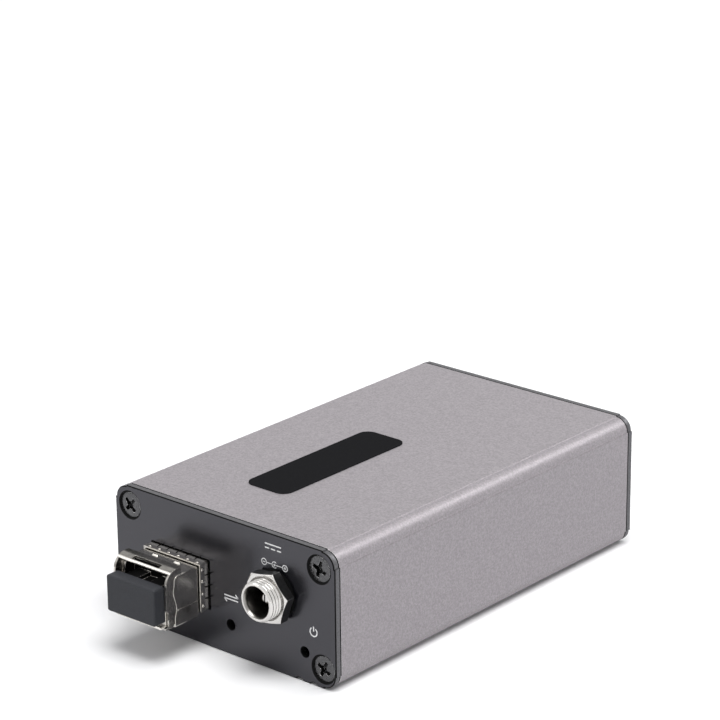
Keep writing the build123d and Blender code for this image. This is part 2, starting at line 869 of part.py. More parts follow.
# Transmitter and receiver: a turned can behind the bulkhead, with the sleeve that reaches
# into the fibre port.
def optical_barrel(x):
    """A can and its sleeve on the axis of the port at x."""
    with BuildPart() as barrel:
        with BuildSketch(facing_front(bulkhead_back)):
            with Locations((x, port_z)):
                Circle(optics_radius)
        extrude(amount=-optics_length)
        with BuildSketch(facing_front(bulkhead_back)):
            with Locations((x, port_z)):
                Circle(sleeve_radius)
        extrude(amount=bulkhead_back - sleeve_front)
        with BuildSketch(facing_front(sleeve_front)):
            with Locations((x, port_z)):
                Circle(fibre_bore_radius)
        extrude(amount=-sleeve_length / 2, mode=Mode.SUBTRACT)
    return barrel.part


transmitter_barrel = optical_barrel(port_points[0])
transmitter_barrel.label = "transmitter_barrel"
export_step(transmitter_barrel, "parts/transmitter_barrel.step")

receiver_barrel = optical_barrel(port_points[1])
receiver_barrel.label = "receiver_barrel"
export_step(receiver_barrel, "parts/receiver_barrel.step")

# Flat leads from both cans to the module's board.
flex_back = card_front + flex_overlap
with BuildPart() as flex_leads:
    with BuildSketch(Plane.XY.offset(card_top)):
        with Locations(*[(x, (optics_back + flex_back) / 2) for x in port_points]):
            Rectangle(flex_width, flex_back - optics_back)
    extrude(amount=flex_thickness)
flex_leads.part.label = "flex_leads"
export_step(flex_leads.part, "parts/flex_leads.step")


def moulded_chip(x, y, z, chip_width, chip_length, chip_height):
    """A square-edged moulded package that stands on z, with a small bevel round its top."""
    with BuildPart() as chip:
        with BuildSketch(Plane.XY.offset(z)):
            with Locations((x, y)):
                Rectangle(chip_width, chip_length)
        extrude(amount=chip_height)
        chamfer(chip.faces().sort_by(Axis.Z)[-1].edges(), chip_bevel)
    return chip.part


driver_y = card_front + driver_from_front
driver_chip = moulded_chip(module_x, driver_y, card_top, driver_width, driver_width, thin_chip_height)
driver_chip.label = "driver_chip"
export_step(driver_chip, "parts/driver_chip.step")

# Release strip: a thin strip in a channel under the module. The bail pushes it back
# against the cage's latch.
with BuildPart() as release_strip:
    with BuildSketch(Plane.XY.offset(module_bottom + strip_clearance)):
        with Locations((module_x, strip_front + strip_length / 2)):
            Rectangle(strip_width, strip_length)
    extrude(amount=strip_thickness)
    with BuildSketch(Plane.XY.offset(nose_bottom + tab_lift)):
        with Locations((module_x, strip_front + strip_thickness / 2)):
            Rectangle(strip_width, strip_thickness)
    extrude(amount=module_bottom + strip_clearance - nose_bottom - tab_lift)
release_strip.part.label = "release_strip"
export_step(release_strip.part, "parts/release_strip.step")

# Bail: a stamped strap on each side of the nose, joined over the top by a slotted plate
# with a rolled front edge. Two stubs turn in the nose.
arm_inner = cheek_width / 2 + bail_gap
arm_back = cheek_back - bail_gap - pivot_clearance
arm_round = arm_back - pivot_y
bail_inner_top = wave_top + bail_inner_arc
bail_top = bail_inner_top + bail_top_depth
bail_arc_y = front_y - bail_arc_from_plate
bail_arc_z = bail_top - bail_arc
bail_end = front_y - bail_back_from_plate
bail_top_turn = math.asin((bail_front_from_plate - bail_arc_from_plate) / bail_arc)
foot_bottom = pivot_z - arm_round
arm_front = bail_arc_y - bail_arc


def on_bail_arc(radius):
    """The point at the front edge of the bail's top plate, at a radius of its curve."""
    return (
        bail_arc_y - radius * math.sin(bail_top_turn),
        bail_arc_z + radius * math.cos(bail_top_turn),
    )


with BuildPart() as bail_latch:
    for side in (-1, 1):
        with BuildSketch(seen_from_right(module_x + side * arm_inner)):
            with BuildLine():
                Line((arm_back, pivot_z), (arm_back, pivot_z + wave_start))
                side_wave(arm_back)
                CenterArc((arm_back + bail_inner_arc, wave_top), bail_inner_arc, 180, -90)
                Line((arm_back + bail_inner_arc, bail_inner_top), (bail_end, bail_inner_top))
                Line((bail_end, bail_inner_top), (bail_end, bail_top))
                Line((bail_end, bail_top), (bail_arc_y, bail_top))
                CenterArc((bail_arc_y, bail_arc_z), bail_arc, 90, 90)
                Polyline(
                    (arm_front, bail_arc_z),
                    (arm_front, pivot_z + bail_waist_top),
                    (arm_front + bail_waist, pivot_z + bail_waist_bottom),
                    (arm_front + bail_waist, foot_bottom + 2 * bail_toe_height),
                    (arm_front + bail_waist - bail_toe, foot_bottom + bail_toe_height),
                    (arm_front + bail_waist - bail_toe, foot_bottom),
                    (pivot_y, foot_bottom),
                )
                CenterArc((pivot_y, pivot_z), arm_round, -90, 90)
            make_face()
        extrude(amount=side * bail_sheet)
        with BuildSketch(seen_from_right(module_x + side * arm_inner)):
            with Locations((pivot_y, pivot_z)):
                Circle(pivot_radius)
        extrude(amount=-side * pivot_length)
    with BuildSketch(seen_from_right(module_x - arm_inner - bail_sheet)):
        with BuildLine():
            CenterArc((bail_arc_y, bail_arc_z), bail_arc, 90, math.degrees(bail_top_turn))
            Line(on_bail_arc(bail_arc), on_bail_arc(bail_arc - bail_top_sheet))
            CenterArc((bail_arc_y, bail_arc_z), bail_arc - bail_top_sheet, 90, math.degrees(bail_top_turn))
            Polyline(
                (bail_arc_y, bail_top - bail_top_sheet),
                (bail_end, bail_top - bail_top_sheet),
                (bail_end, bail_top),
                (bail_arc_y, bail_top),
            )
        make_face()
        with Locations(on_bail_arc(bail_arc - bail_top_sheet / 2)):
            Circle(bail_bead)
    extrude(amount=2 * (arm_inner + bail_sheet))
    with BuildSketch(Plane.XY.offset(bail_arc_z)):
        with Locations((module_x, front_y - bail_slot_from_plate)):
            Rectangle(bail_slot_width, bail_slot_length)
    extrude(amount=bail_arc, mode=Mode.SUBTRACT)
bail_latch.part.label = "bail_latch"
export_step(bail_latch.part, "parts/bail_latch.step")

# Rubber plug: a block in front of the nose with a hollow square pin in each port.
plug_back = nose_front - plug_gap
plug_bottom = nose_bottom + plug_above_floor
with BuildPart() as dust_plug:
    with BuildSketch(facing_front(plug_back)):
        with Locations((module_x, plug_bottom + plug_height / 2)):
            RectangleRounded(plug_width, plug_height, plug_corner)
    extrude(amount=plug_depth)
    fillet(dust_plug.faces().sort_by(Axis.Y)[0].edges(), plug_edge)
    with BuildSketch(facing_front(plug_back)):
        with Locations(*[(x, port_z) for x in port_points]):
            Rectangle(port_width - 2 * plug_clearance, port_width - 2 * plug_clearance)
    extrude(amount=-(plug_pin_length + plug_gap))
    with BuildSketch(facing_front(nose_front + plug_pin_length)):
        with Locations(*[(x, port_z) for x in port_points]):
            Circle(sleeve_radius + plug_pin_gap)
    extrude(amount=plug_pin_length - plug_pin_floor, mode=Mode.SUBTRACT)
dust_plug.part.label = "dust_plug"
export_step(dust_plug.part, "parts/dust_plug.step")

# Power socket: a threaded barrel through the front plate, flanged behind it.
jack_plane = Plane(origin=(jack_x, front_y, jack_z), x_dir=(1, 0, 0), z_dir=(0, 0, 1))
jack_axis = Axis((jack_x, front_y, jack_z), (0, 1, 0))
jack_front = Plane(origin=(jack_x, front_y, jack_z), x_dir=(1, 0, 0), z_dir=(0, -1, 0))
flange_back = plate_thickness + jack_flange
thread_turns = int((jack_mouth - jack_mouth_bevel) / thread_pitch)
thread_profile = []
for turn in range(thread_turns):
    turn_start = jack_mouth_bevel - jack_mouth + turn * thread_pitch
    thread_profile.append((thread_radius, turn_start + thread_land))
    thread_profile.append((thread_radius - thread_depth, turn_start + thread_land / 2 + thread_pitch / 2))
    thread_profile.append((thread_radius, turn_start + thread_pitch))
with BuildPart() as jack_barrel:
    with BuildSketch(jack_plane):
        with BuildLine():
            Polyline(
                (jack_bore_radius + jack_mouth_lead, -jack_mouth),
                (thread_radius - jack_mouth_bevel, -jack_mouth),
                (thread_radius, jack_mouth_bevel - jack_mouth),
                *thread_profile,
                (thread_radius, plate_thickness),
                (jack_flange_radius, plate_thickness),
                (jack_flange_radius, flange_back),
                (jack_bore_radius, flange_back),
                (jack_bore_radius, jack_lead_depth - jack_mouth),
                close=True,
            )
        make_face()
    revolve(axis=jack_axis)
jack_barrel.part.label = "jack_barrel"
export_step(jack_barrel.part, "parts/jack_barrel.step")

# Hexagon nut on the barrel, its corners and its bore bevelled at the front.
nut_corner = nut_across_flats / math.sqrt(3)
nut_front = -washer_thickness - nut_thickness
nut_bore_radius = thread_radius + nut_clearance
with BuildPart() as jack_nut:
    with BuildSketch(jack_front.offset(washer_thickness)):
        RegularPolygon(nut_across_flats / 2, 6, major_radius=False, rotation=nut_turn)
    extrude(amount=nut_thickness)
    with BuildSketch(jack_plane):
        with BuildLine():
            Polyline(
                (nut_bore_radius, -washer_thickness),
                (nut_bore_radius, nut_front + nut_bore_bevel),
                (nut_bore_radius + nut_bore_bevel, nut_front),
                (nut_corner - 2 * nut_bevel, nut_front),
                (nut_corner, nut_front + nut_bevel),
                (nut_corner, -washer_thickness),
                close=True,
            )
        make_face()
    revolve(axis=jack_axis, mode=Mode.INTERSECT)
jack_nut.part.label = "jack_nut"
export_step(jack_nut.part, "parts/jack_nut.step")

# Washer between the nut and the plate.
with BuildPart() as jack_washer:
    with BuildSketch(jack_front):
        Circle(washer_radius)
        Circle(jack_hole_radius, mode=Mode.SUBTRACT)
    extrude(amount=washer_thickness)
jack_washer.part.label = "jack_washer"
export_step(jack_washer.part, "parts/jack_washer.step")

# Moulded body behind the flange, which holds the centre pin and the spring contact.
socket_floor = jack_plug_depth - jack_mouth
with BuildPart() as jack_body:
    with BuildSketch(jack_front.offset(-flange_back)):
        RectangleRounded(jack_body_width, jack_body_width, jack_body_corner)
    extrude(amount=-jack_body_length)
    with BuildSketch(jack_front.offset(-flange_back)):
        Circle(jack_bore_radius)
    extrude(amount=flange_back - socket_floor, mode=Mode.SUBTRACT)
    with BuildSketch(jack_front.offset(-socket_floor)):
        Circle(jack_pin_radius + pin_fit)
        with Locations((0, -leaf_drop)):
            Rectangle(leaf_width + 2 * pin_fit, leaf_thickness + 2 * pin_fit)
    extrude(amount=-(flange_back + jack_body_length - socket_floor), mode=Mode.SUBTRACT)
jack_body.part.label = "jack_body"
export_step(jack_body.part, "parts/jack_body.step")

# Centre pin, slotted at its tip.
pin_tip = jack_pin_recess - jack_mouth
body_back = flange_back + jack_body_length
with BuildPart() as jack_pin:
    with BuildSketch(jack_front.offset(-pin_tip)):
        Circle(jack_pin_radius)
    extrude(amount=-(body_back + pin_tail - pin_tip))
    fillet(jack_pin.faces().sort_by(Axis.Y)[0].edges(), jack_pin_radius / 2)
    with BuildSketch(jack_front.offset(-pin_tip)):
        Rectangle(pin_slot, 2 * jack_pin_radius)
    extrude(amount=-pin_slot_depth, mode=Mode.SUBTRACT)
jack_pin.part.label = "jack_pin"
export_step(jack_pin.part, "parts/jack_pin.step")

# Spring contact under the pin and the three tabs that stand on the board.
leaf_back = body_back + pin_tail
with BuildPart() as jack_contacts:
    with BuildSketch(Plane(origin=(jack_x - leaf_width / 2, front_y, jack_z), x_dir=(0, 1, 0), z_dir=(1, 0, 0))):
        with BuildLine():
            Polyline(
                (leaf_front, -leaf_drop + leaf_rise),
                (leaf_front + leaf_bend, -leaf_drop + leaf_rise + leaf_thickness),
                (socket_floor, -leaf_drop + leaf_thickness / 2),
                (leaf_back, -leaf_drop + leaf_thickness / 2),
                (leaf_back, board_top - jack_z),
                (leaf_back - leaf_thickness, board_top - jack_z),
                (leaf_back - leaf_thickness, -leaf_drop - leaf_thickness / 2),
                (socket_floor, -leaf_drop - leaf_thickness / 2),
                close=True,
            )
        make_face()
    extrude(amount=leaf_width)
    for side in (-1, 1):
        with BuildSketch(Plane.XY.offset(board_top)):
            with Locations((jack_x + side * (jack_body_width - tab_width) / 2, front_y + flange_back + tab_from_flange)):
                Rectangle(tab_width, leaf_thickness)
        extrude(amount=jack_z - jack_body_width / 2 - board_top)
jack_contacts.part.label = "jack_contacts"
export_step(jack_contacts.part, "parts/jack_contacts.step")


# Lamps: side-looking lamp packages under the board's front edge, behind their holes.
def lamp(x):
    """A lamp package with a round lens that looks forwards."""
    with BuildPart() as package:
        with BuildSketch(Plane.XY.offset(board_bottom)):
            with Locations((x, board_front + lamp_depth / 2)):
                Rectangle(lamp_width, lamp_depth)
        extrude(amount=-lamp_height)
        with BuildSketch(facing_front(board_front)):
            with Locations((x, lamp_z)):
                Circle(lens_radius)
        extrude(amount=lens_reach, taper=lens_slope)
    return package.part


link_lamp = lamp(link_x)
link_lamp.label = "link_lamp"
export_step(link_lamp, "parts/link_lamp.step")

power_lamp = lamp(power_x)
power_lamp.label = "power_lamp"
export_step(power_lamp, "parts/power_lamp.step")

# Socket at the back: a folded sheet shell that stands on the board.
usb_mouth = back_y + usb_overhang
usb_front = usb_mouth - usb_depth
usb_inside_width = usb_width - 2 * usb_sheet
usb_inside_height = usb_height - 2 * usb_sheet
with BuildPart() as usb_shell:
    with BuildSketch(facing_front(usb_mouth)):
        with Locations((0, usb_z)):
            RectangleRounded(usb_width, usb_height, usb_corner)
    extrude(amount=usb_depth)
    with BuildSketch(facing_front(usb_mouth)):
        with Locations((0, usb_z)):
            RectangleRounded(usb_inside_width, usb_inside_height, usb_corner - usb_sheet)
    extrude(amount=usb_depth - usb_sheet, mode=Mode.SUBTRACT)
    with BuildSketch(Plane.XY.offset(board_top)):
        with Locations((0, usb_front + usb_depth / 2)):
            with GridLocations(usb_width - usb_leg_inset, usb_depth / 2, 2, 2):
                Rectangle(usb_sheet, usb_leg_length)
    extrude(amount=usb_lift + usb_sheet)
usb_shell.part.label = "usb_shell"
export_step(usb_shell.part, "parts/usb_shell.step")

# Moulded insulator of the back socket: a block at the bottom of the shell and the tongue.
tongue_top = usb_z + usb_inside_height / 2 - usb_tongue_drop
tongue_bottom = tongue_top - usb_tongue_thickness
block_back = usb_front + usb_sheet
with BuildPart() as usb_tongue:
    with BuildSketch(facing_front(block_back)):
        with Locations((0, usb_z)):
            RectangleRounded(
                usb_inside_width - 2 * usb_fit, usb_inside_height - 2 * usb_fit, usb_corner - usb_sheet
            )
    extrude(amount=-usb_block)
    with BuildSketch(facing_front(block_back)):
        with Locations((0, (tongue_top + tongue_bottom) / 2)):
            Rectangle(usb_tongue_width, usb_tongue_thickness)
    extrude(amount=-(usb_mouth - usb_tongue_recess - block_back))
    chamfer(usb_tongue.faces().sort_by(Axis.Y)[-1].edges(), usb_tongue_bevel)
usb_tongue.part.label = "usb_tongue"
export_step(usb_tongue.part, "parts/usb_tongue.step")

# Contact strips on the underside of the tongue.
contact_start = block_back + usb_block
with BuildPart() as usb_contacts:
    with BuildSketch(Plane.XY.offset(tongue_bottom)):
        with Locations((0, (contact_start + usb_mouth - usb_tongue_recess - usb_contact_recess) / 2)):
            with GridLocations(usb_contact_pitch, 1, usb_contact_count, 1):
                Rectangle(
                    usb_contact_width,
                    usb_mouth - usb_tongue_recess - usb_contact_recess - contact_start,
                )
    extrude(amount=-usb_contact_thickness)
usb_contacts.part.label = "usb_contacts"
export_step(usb_contacts.part, "parts/usb_contacts.step")

# Moulded chips on the board.
bridge_chip = moulded_chip(bridge_x, bridge_y, board_top, bridge_width, bridge_width, thick_chip_height)
bridge_chip.label = "bridge_chip"
export_step(bridge_chip, "parts/bridge_chip.step")

hub_chip = moulded_chip(hub_x, hub_y, board_top, hub_width, hub_width, thin_chip_height)
hub_chip.label = "hub_chip"
export_step(hub_chip, "parts/hub_chip.step")

memory_chip = moulded_chip(memory_x, memory_y, board_top, memory_width, memory_length, thick_chip_height)
memory_chip.label = "memory_chip"
export_step(memory_chip, "parts/memory_chip.step")

# Metal-can crystals beside the two large chips.
with BuildPart() as crystals:
    with BuildSketch(Plane.XY.offset(board_top)):
        with Locations((inductor_x, bridge_y), (hub_x - hub_width, hub_y)):
            RectangleRounded(crystal_width, crystal_length, crystal_corner)
    extrude(amount=crystal_height)
crystals.part.label = "crystals"
export_step(crystals.part, "parts/crystals.step")

# Moulded power inductors.
with BuildPart() as power_inductors:
    with BuildSketch(Plane.XY.offset(board_top)):
        with Locations(*[(inductor_x, row) for row in inductor_rows]):
            RectangleRounded(inductor_width, inductor_width, inductor_corner)
    extrude(amount=inductor_height)
    chamfer(power_inductors.faces().filter_by(Axis.Z).group_by(Axis.Z)[-1].edges(), chip_bevel)
power_inductors.part.label = "power_inductors"
export_step(power_inductors.part, "parts/power_inductors.step")

# Aluminium-can capacitors: a round can on a square moulded foot.
with BuildPart() as bulk_capacitors:
    with BuildSketch(Plane.XY.offset(board_top)):
        with Locations(*capacitor_points):
            RectangleRounded(capacitor_foot, capacitor_foot, capacitor_corner)
    extrude(amount=capacitor_foot_height)
    with BuildSketch(Plane.XY.offset(board_top + capacitor_foot_height)):
        with Locations(*capacitor_points):
            Circle(capacitor_radius)
    extrude(amount=capacitor_height - capacitor_foot_height)
    fillet(bulk_capacitors.faces().filter_by(Axis.Z).group_by(Axis.Z)[-1].edges(), capacitor_corner)
bulk_capacitors.part.label = "bulk_capacitors"
export_step(bulk_capacitors.part, "parts/bulk_capacitors.step")

# Small ceramic capacitors in rows beside the chips.
with BuildPart() as chip_capacitors:
    with BuildSketch(Plane.XY.offset(board_top)):
        with Locations((bridge_x, bridge_y)):
            with GridLocations(small_part_pitch, bridge_width + 2 * row_gap, bridge_row_parts, 2):
                Rectangle(small_part_width, small_part_length)
        with Locations((hub_x, hub_y)):
            with GridLocations(small_part_pitch, hub_width + 2 * row_gap, hub_row_parts, 2):
                Rectangle(small_part_width, small_part_length)
    extrude(amount=small_part_height)
chip_capacitors.part.label = "chip_capacitors"
export_step(chip_capacitors.part, "parts/chip_capacitors.step")
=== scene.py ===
import math

import bmesh
import bpy
from mathutils import Matrix, Vector


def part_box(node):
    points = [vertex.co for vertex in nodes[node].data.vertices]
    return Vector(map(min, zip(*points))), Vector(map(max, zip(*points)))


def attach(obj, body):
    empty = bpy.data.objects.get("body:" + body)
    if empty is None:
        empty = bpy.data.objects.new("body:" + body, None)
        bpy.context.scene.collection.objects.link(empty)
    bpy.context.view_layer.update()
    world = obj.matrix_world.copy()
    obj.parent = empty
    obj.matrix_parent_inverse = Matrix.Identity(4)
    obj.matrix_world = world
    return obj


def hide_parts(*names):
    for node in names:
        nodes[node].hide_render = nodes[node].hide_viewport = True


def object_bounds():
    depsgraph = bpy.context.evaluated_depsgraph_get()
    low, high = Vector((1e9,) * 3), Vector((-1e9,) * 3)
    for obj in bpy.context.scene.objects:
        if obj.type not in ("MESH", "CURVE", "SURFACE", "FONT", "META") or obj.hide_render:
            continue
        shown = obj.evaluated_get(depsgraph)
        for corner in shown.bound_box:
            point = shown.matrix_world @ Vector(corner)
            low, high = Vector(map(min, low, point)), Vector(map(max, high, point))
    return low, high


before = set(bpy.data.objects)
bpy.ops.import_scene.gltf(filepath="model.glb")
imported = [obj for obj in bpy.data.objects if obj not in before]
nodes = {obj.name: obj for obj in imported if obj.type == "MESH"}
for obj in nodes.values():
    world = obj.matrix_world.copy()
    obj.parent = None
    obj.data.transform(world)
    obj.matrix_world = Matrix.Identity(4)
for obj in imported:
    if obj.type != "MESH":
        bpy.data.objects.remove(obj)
cad_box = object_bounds()

# Camera: it stands in front and to the right, a little above, and its long lens keeps the
# extender's edges nearly parallel. Its place is given in the part's own frame.
mm = 0.001
camera_place = Vector((355.3, -414.3, 240.4)) * mm
camera_yaw = math.radians(41.02)
camera_pitch = math.radians(19.61)
camera_roll = math.radians(-0.56)
aim = Vector((
    -math.sin(camera_yaw) * math.cos(camera_pitch),
    math.cos(camera_yaw) * math.cos(camera_pitch),
    -math.sin(camera_pitch),
))
lens = bpy.data.cameras.new("studio_camera")
lens.lens = 149.05
lens.sensor_width = 36.0
lens.clip_start = 0.01
lens.clip_end = 20.0
camera = bpy.data.objects.new("studio_camera", lens)
bpy.context.scene.collection.objects.link(camera)
camera.matrix_world = (
    Matrix.Translation(camera_place)
    @ aim.to_track_quat("-Z", "Y").to_matrix().to_4x4()
    @ Matrix.Rotation(camera_roll, 4, "Z")
)
bpy.context.scene.camera = camera


# Tube: one length of extruded aluminium, bead blasted and anodised grey, so that it has a
# fine even grain. Its two ends are sawn square and the plates close them.
def finish(name, colour, roughness, metallic=0.0, coat=0.0, specular=0.5):
    """A plain surface of one colour and one gloss, to which grain and wear are added."""
    made = bpy.data.materials.new(name)
    made.use_nodes = True
    shader = made.node_tree.nodes["Principled BSDF"]
    shader.inputs["Base Color"].default_value = (*colour, 1.0)
    shader.inputs["Roughness"].default_value = roughness
    shader.inputs["Metallic"].default_value = metallic
    shader.inputs["Coat Weight"].default_value = coat
    shader.inputs["Specular IOR Level"].default_value = specular
    return made


def speckle(made, size, tone=0.0, depth=0.0, gloss=0.0, stretch=(1.0, 1.0, 1.0), detail=3.0):
    """Grain of a given size: it varies the tone and the gloss, and it pits the surface."""
    grain_low, grain_high = 0.3, 0.7
    tree = made.node_tree
    shader = tree.nodes["Principled BSDF"]
    place = tree.nodes.new("ShaderNodeTexCoord")
    squeeze = tree.nodes.new("ShaderNodeMapping")
    squeeze.inputs["Scale"].default_value = stretch
    noise = tree.nodes.new("ShaderNodeTexNoise")
    noise.inputs["Scale"].default_value = 1.0 / size
    noise.inputs["Detail"].default_value = detail
    tree.links.new(place.outputs["Object"], squeeze.inputs["Vector"])
    tree.links.new(squeeze.outputs["Vector"], noise.inputs["Vector"])

    def swing(middle, reach):
        """The grain as a value that swings as far as reach to either side of middle."""
        spread = tree.nodes.new("ShaderNodeMapRange")
        spread.inputs["From Min"].default_value = grain_low
        spread.inputs["From Max"].default_value = grain_high
        spread.inputs["To Min"].default_value = middle - reach
        spread.inputs["To Max"].default_value = middle + reach
        tree.links.new(noise.outputs["Fac"], spread.inputs["Value"])
        return spread.outputs["Result"]

    if tone:
        shade = tree.nodes.new("ShaderNodeVectorMath")
        shade.operation = "SCALE"
        tree.links.new(swing(1.0, tone), shade.inputs["Scale"])
        if shader.inputs["Base Color"].is_linked:
            earlier = shader.inputs["Base Color"].links[0].from_socket
            tree.links.new(earlier, shade.inputs[0])
        else:
            shade.inputs[0].default_value = shader.inputs["Base Color"].default_value[:3]
        tree.links.new(shade.outputs["Vector"], shader.inputs["Base Color"])
    if gloss:
        rough = shader.inputs["Roughness"].default_value
        tree.links.new(swing(rough, gloss), shader.inputs["Roughness"])
    if depth:
        pits = tree.nodes.new("ShaderNodeBump")
        pits.inputs["Distance"].default_value = depth
        tree.links.new(noise.outputs["Fac"], pits.inputs["Height"])
        if shader.inputs["Normal"].is_linked:
            tree.links.new(shader.inputs["Normal"].links[0].from_socket, pits.inputs["Normal"])
        tree.links.new(pits.outputs["Normal"], shader.inputs["Normal"])


def dress(made, *names):
    """Gives the named pieces of the frame this finish all over."""
    for name in names:
        for place in nodes[name].material_slots:
            place.material = made


def eased(
    name, made, width, body="housing", edge=None, others=(), share_of=None, face_of=None
):
    """A copy of a piece of the frame with its sharp edges, or some of them, rounded over.

    The rounded edges take the finish edge, or made where there is none. share_of gives the
    share of the width that an edge takes, and 0 leaves it sharp. face_of gives the finish of
    a face: 0 is made, 1 is edge, and 2 and 3 are the first and the second of the others.
    """
    join_distance = 0.002 * mm
    flat_angle = math.radians(0.5)
    sharp_angle = math.radians(35)
    shape = nodes[name].data.copy()
    shape.materials.clear()
    for covering in (made, edge or made, *others):
        shape.materials.append(covering)
    work = bmesh.new()
    work.from_mesh(shape)
    bmesh.ops.remove_doubles(work, verts=work.verts, dist=join_distance)
    bmesh.ops.dissolve_limit(work, angle_limit=flat_angle, verts=work.verts, edges=work.edges)
    weight = work.edges.layers.float.new("bevel_weight_edge")
    for side in work.edges:
        sharp = side.is_manifold and side.calc_face_angle() > sharp_angle
        share = share_of(side) if share_of else 1.0
        side[weight] = share if sharp else 0.0
        side.smooth = not sharp or share > 0.0
    work.normal_update()
    for face in work.faces:
        face.smooth = True
        face.material_index = face_of(face) if face_of else 0
    work.to_mesh(shape)
    work.free()
    piece = bpy.data.objects.new(name + "_eased", shape)
    bpy.context.scene.collection.objects.link(piece)
    rounding = piece.modifiers.new("edges", "BEVEL")
    rounding.width = width
    rounding.segments = 2
    rounding.limit_method = "WEIGHT"
    rounding.miter_outer = "MITER_ARC"
    rounding.material = 1
    normals = piece.modifiers.new("normals", "WEIGHTED_NORMAL")
    normals.keep_sharp = True
    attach(piece, body)
    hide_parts(name)


blasted = finish("grey_anodised", (0.290, 0.269, 0.284), 0.48, metallic=0.55)
speckle(blasted, 0.9 * mm, tone=0.035, detail=2.0)
speckle(blasted, 0.42 * mm, tone=0.12, detail=1.0)
speckle(blasted, 0.20 * mm, tone=0.12, depth=0.014 * mm, detail=2.0)
sawn = finish("sawn_edge", (0.85, 0.84, 0.85), 0.30, metallic=0.9)
speckle(sawn, 0.3 * mm, tone=0.10)
# Dull black: the washer's own colour, and painted shade in seams, sinks, bevels and hollows.
black_and_painted_shade = finish("black_and_painted_shade", (0.003, 0.003, 0.003), 0.6, specular=0.08)
speckle(black_and_painted_shade, 0.3 * mm, tone=0.15)
tube_low, tube_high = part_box("housing_extrusion")
hair = 0.01 * mm
level_share = 0.3


def tube_edge_share(side):
    """Only the two sawn ends are rounded, and less on their level edges than elsewhere."""
    first, last = side.verts
    reach = sorted((first.co.y, last.co.y))
    if reach[1] > tube_low.y + hair and reach[0] < tube_high.y - hair:
        return 0.0
    return level_share if abs(first.co.z - last.co.z) < hair else 1.0


def tube_face(face):
    """The tube's two ends take painted shade in dull black inside the seams to the plates."""
    end_on = abs(face.normal.y) > 0.9
    return 2 if end_on else 0


eased(
    "housing_extrusion",
    blasted,
    width=0.18 * mm,
    edge=sawn,
    others=(black_and_painted_shade,),
    share_of=tube_edge_share,
    face_of=tube_face,
)

# Board: glass laminate under green solder resist, slid into the tube's rails, and the
# moulded, metal and ceramic parts that are soldered to it.
laminate = finish("board_laminate", (0.018, 0.105, 0.042), 0.32, coat=0.3)
speckle(laminate, 1.2 * mm, tone=0.12, gloss=0.06)
dress(laminate, "circuit_board", "module_board")
epoxy = finish("chip_moulding", (0.022, 0.022, 0.024), 0.55)
speckle(epoxy, 0.25 * mm, tone=0.15, depth=0.01 * mm)
dress(epoxy, "bridge_chip", "hub_chip", "memory_chip", "power_inductors", "driver_chip")
can = finish("can_aluminium", (0.62, 0.62, 0.62), 0.28, metallic=1.0)
speckle(can, 0.5 * mm, tone=0.05, gloss=0.05, stretch=(1.0, 1.0, 0.1))
dress(can, "bulk_capacitors")
ceramic = finish("ceramic", (0.36, 0.27, 0.18), 0.5)
speckle(ceramic, 0.3 * mm, tone=0.12)
dress(ceramic, "chip_capacitors")
gold = finish("gold_contact", (0.80, 0.58, 0.22), 0.22, metallic=1.0)
speckle(gold, 0.4 * mm, tone=0.06, gloss=0.05)
dress(gold, "connector_tails", "module_edge_contacts", "usb_contacts", "flex_leads")

# Sockets and cans: thin brass or steel, formed or turned and then plated with bright
# nickel. The bore of the supply socket's barrel is rougher than its outside and darkened
# with painted shade.
nickel = finish("bright_nickel", (0.63, 0.615, 0.595), 0.17, metallic=1.0)
speckle(nickel, 0.35 * mm, tone=0.05, gloss=0.05)
dress(
    nickel,
    "crystals",
    "transmitter_barrel",
    "receiver_barrel",
    "jack_contacts",
    "jack_pin",
    "usb_shell",
)
bore_nickel_painted_shade = finish("bore_nickel_painted_shade", (0.30, 0.29, 0.275), 0.28, metallic=1.0)
speckle(bore_nickel_painted_shade, 0.5 * mm, tone=0.12)
barrel_low, barrel_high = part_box("jack_barrel")
barrel_middle = (barrel_low + barrel_high) / 2
bore_inward = 0.05 * mm


def barrel_face(face):
    """Faces of the barrel that look towards its axis are the bore's."""
    outward = face.calc_center_median() - barrel_middle
    faces_axis = outward.x * face.normal.x + outward.z * face.normal.z < -bore_inward
    return 2 if faces_axis else 0


eased(
    "jack_barrel",
    nickel,
    width=0.04 * mm,
    others=(bore_nickel_painted_shade,),
    face_of=barrel_face,
)
moulding = finish("black_moulding", (0.016, 0.016, 0.017), 0.42)
speckle(moulding, 0.3 * mm, tone=0.2, depth=0.008 * mm)
dress(moulding, "usb_tongue", "jack_body", "cage_connector")

# Cage: stamped and folded nickel-plated sheet, with a spot-welded strip of springs round
# its mouth. The plate is darker and less even than on the sockets.
sheet_nickel = finish("cage_steel", (0.54, 0.52, 0.49), 0.26, metallic=1.0)
speckle(sheet_nickel, 0.8 * mm, tone=0.06)
dress(sheet_nickel, "cage_spring_fingers")
# A bright nickel laid on as a painted highlight: on edges, welds, the module's lip and the
# bail's bead.
painted_highlight = finish("painted_highlight_nickel", (0.78, 0.75, 0.70), 0.26, metallic=1.0)
speckle(painted_highlight, 0.3 * mm, tone=0.10, gloss=0.06)
cage_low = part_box("module_cage")[0]


def cage_edge_share(side):
    """Only the edges round the cage's mouth are rounded."""
    return 1.0 if max(corner.co.y for corner in side.verts) < cage_low.y + hair else 0.0


# The rounded edges round the mouth take the painted highlight.
eased(
    "module_cage",
    sheet_nickel,
    width=0.08 * mm,
    edge=painted_highlight,
    share_of=cage_edge_share,
)
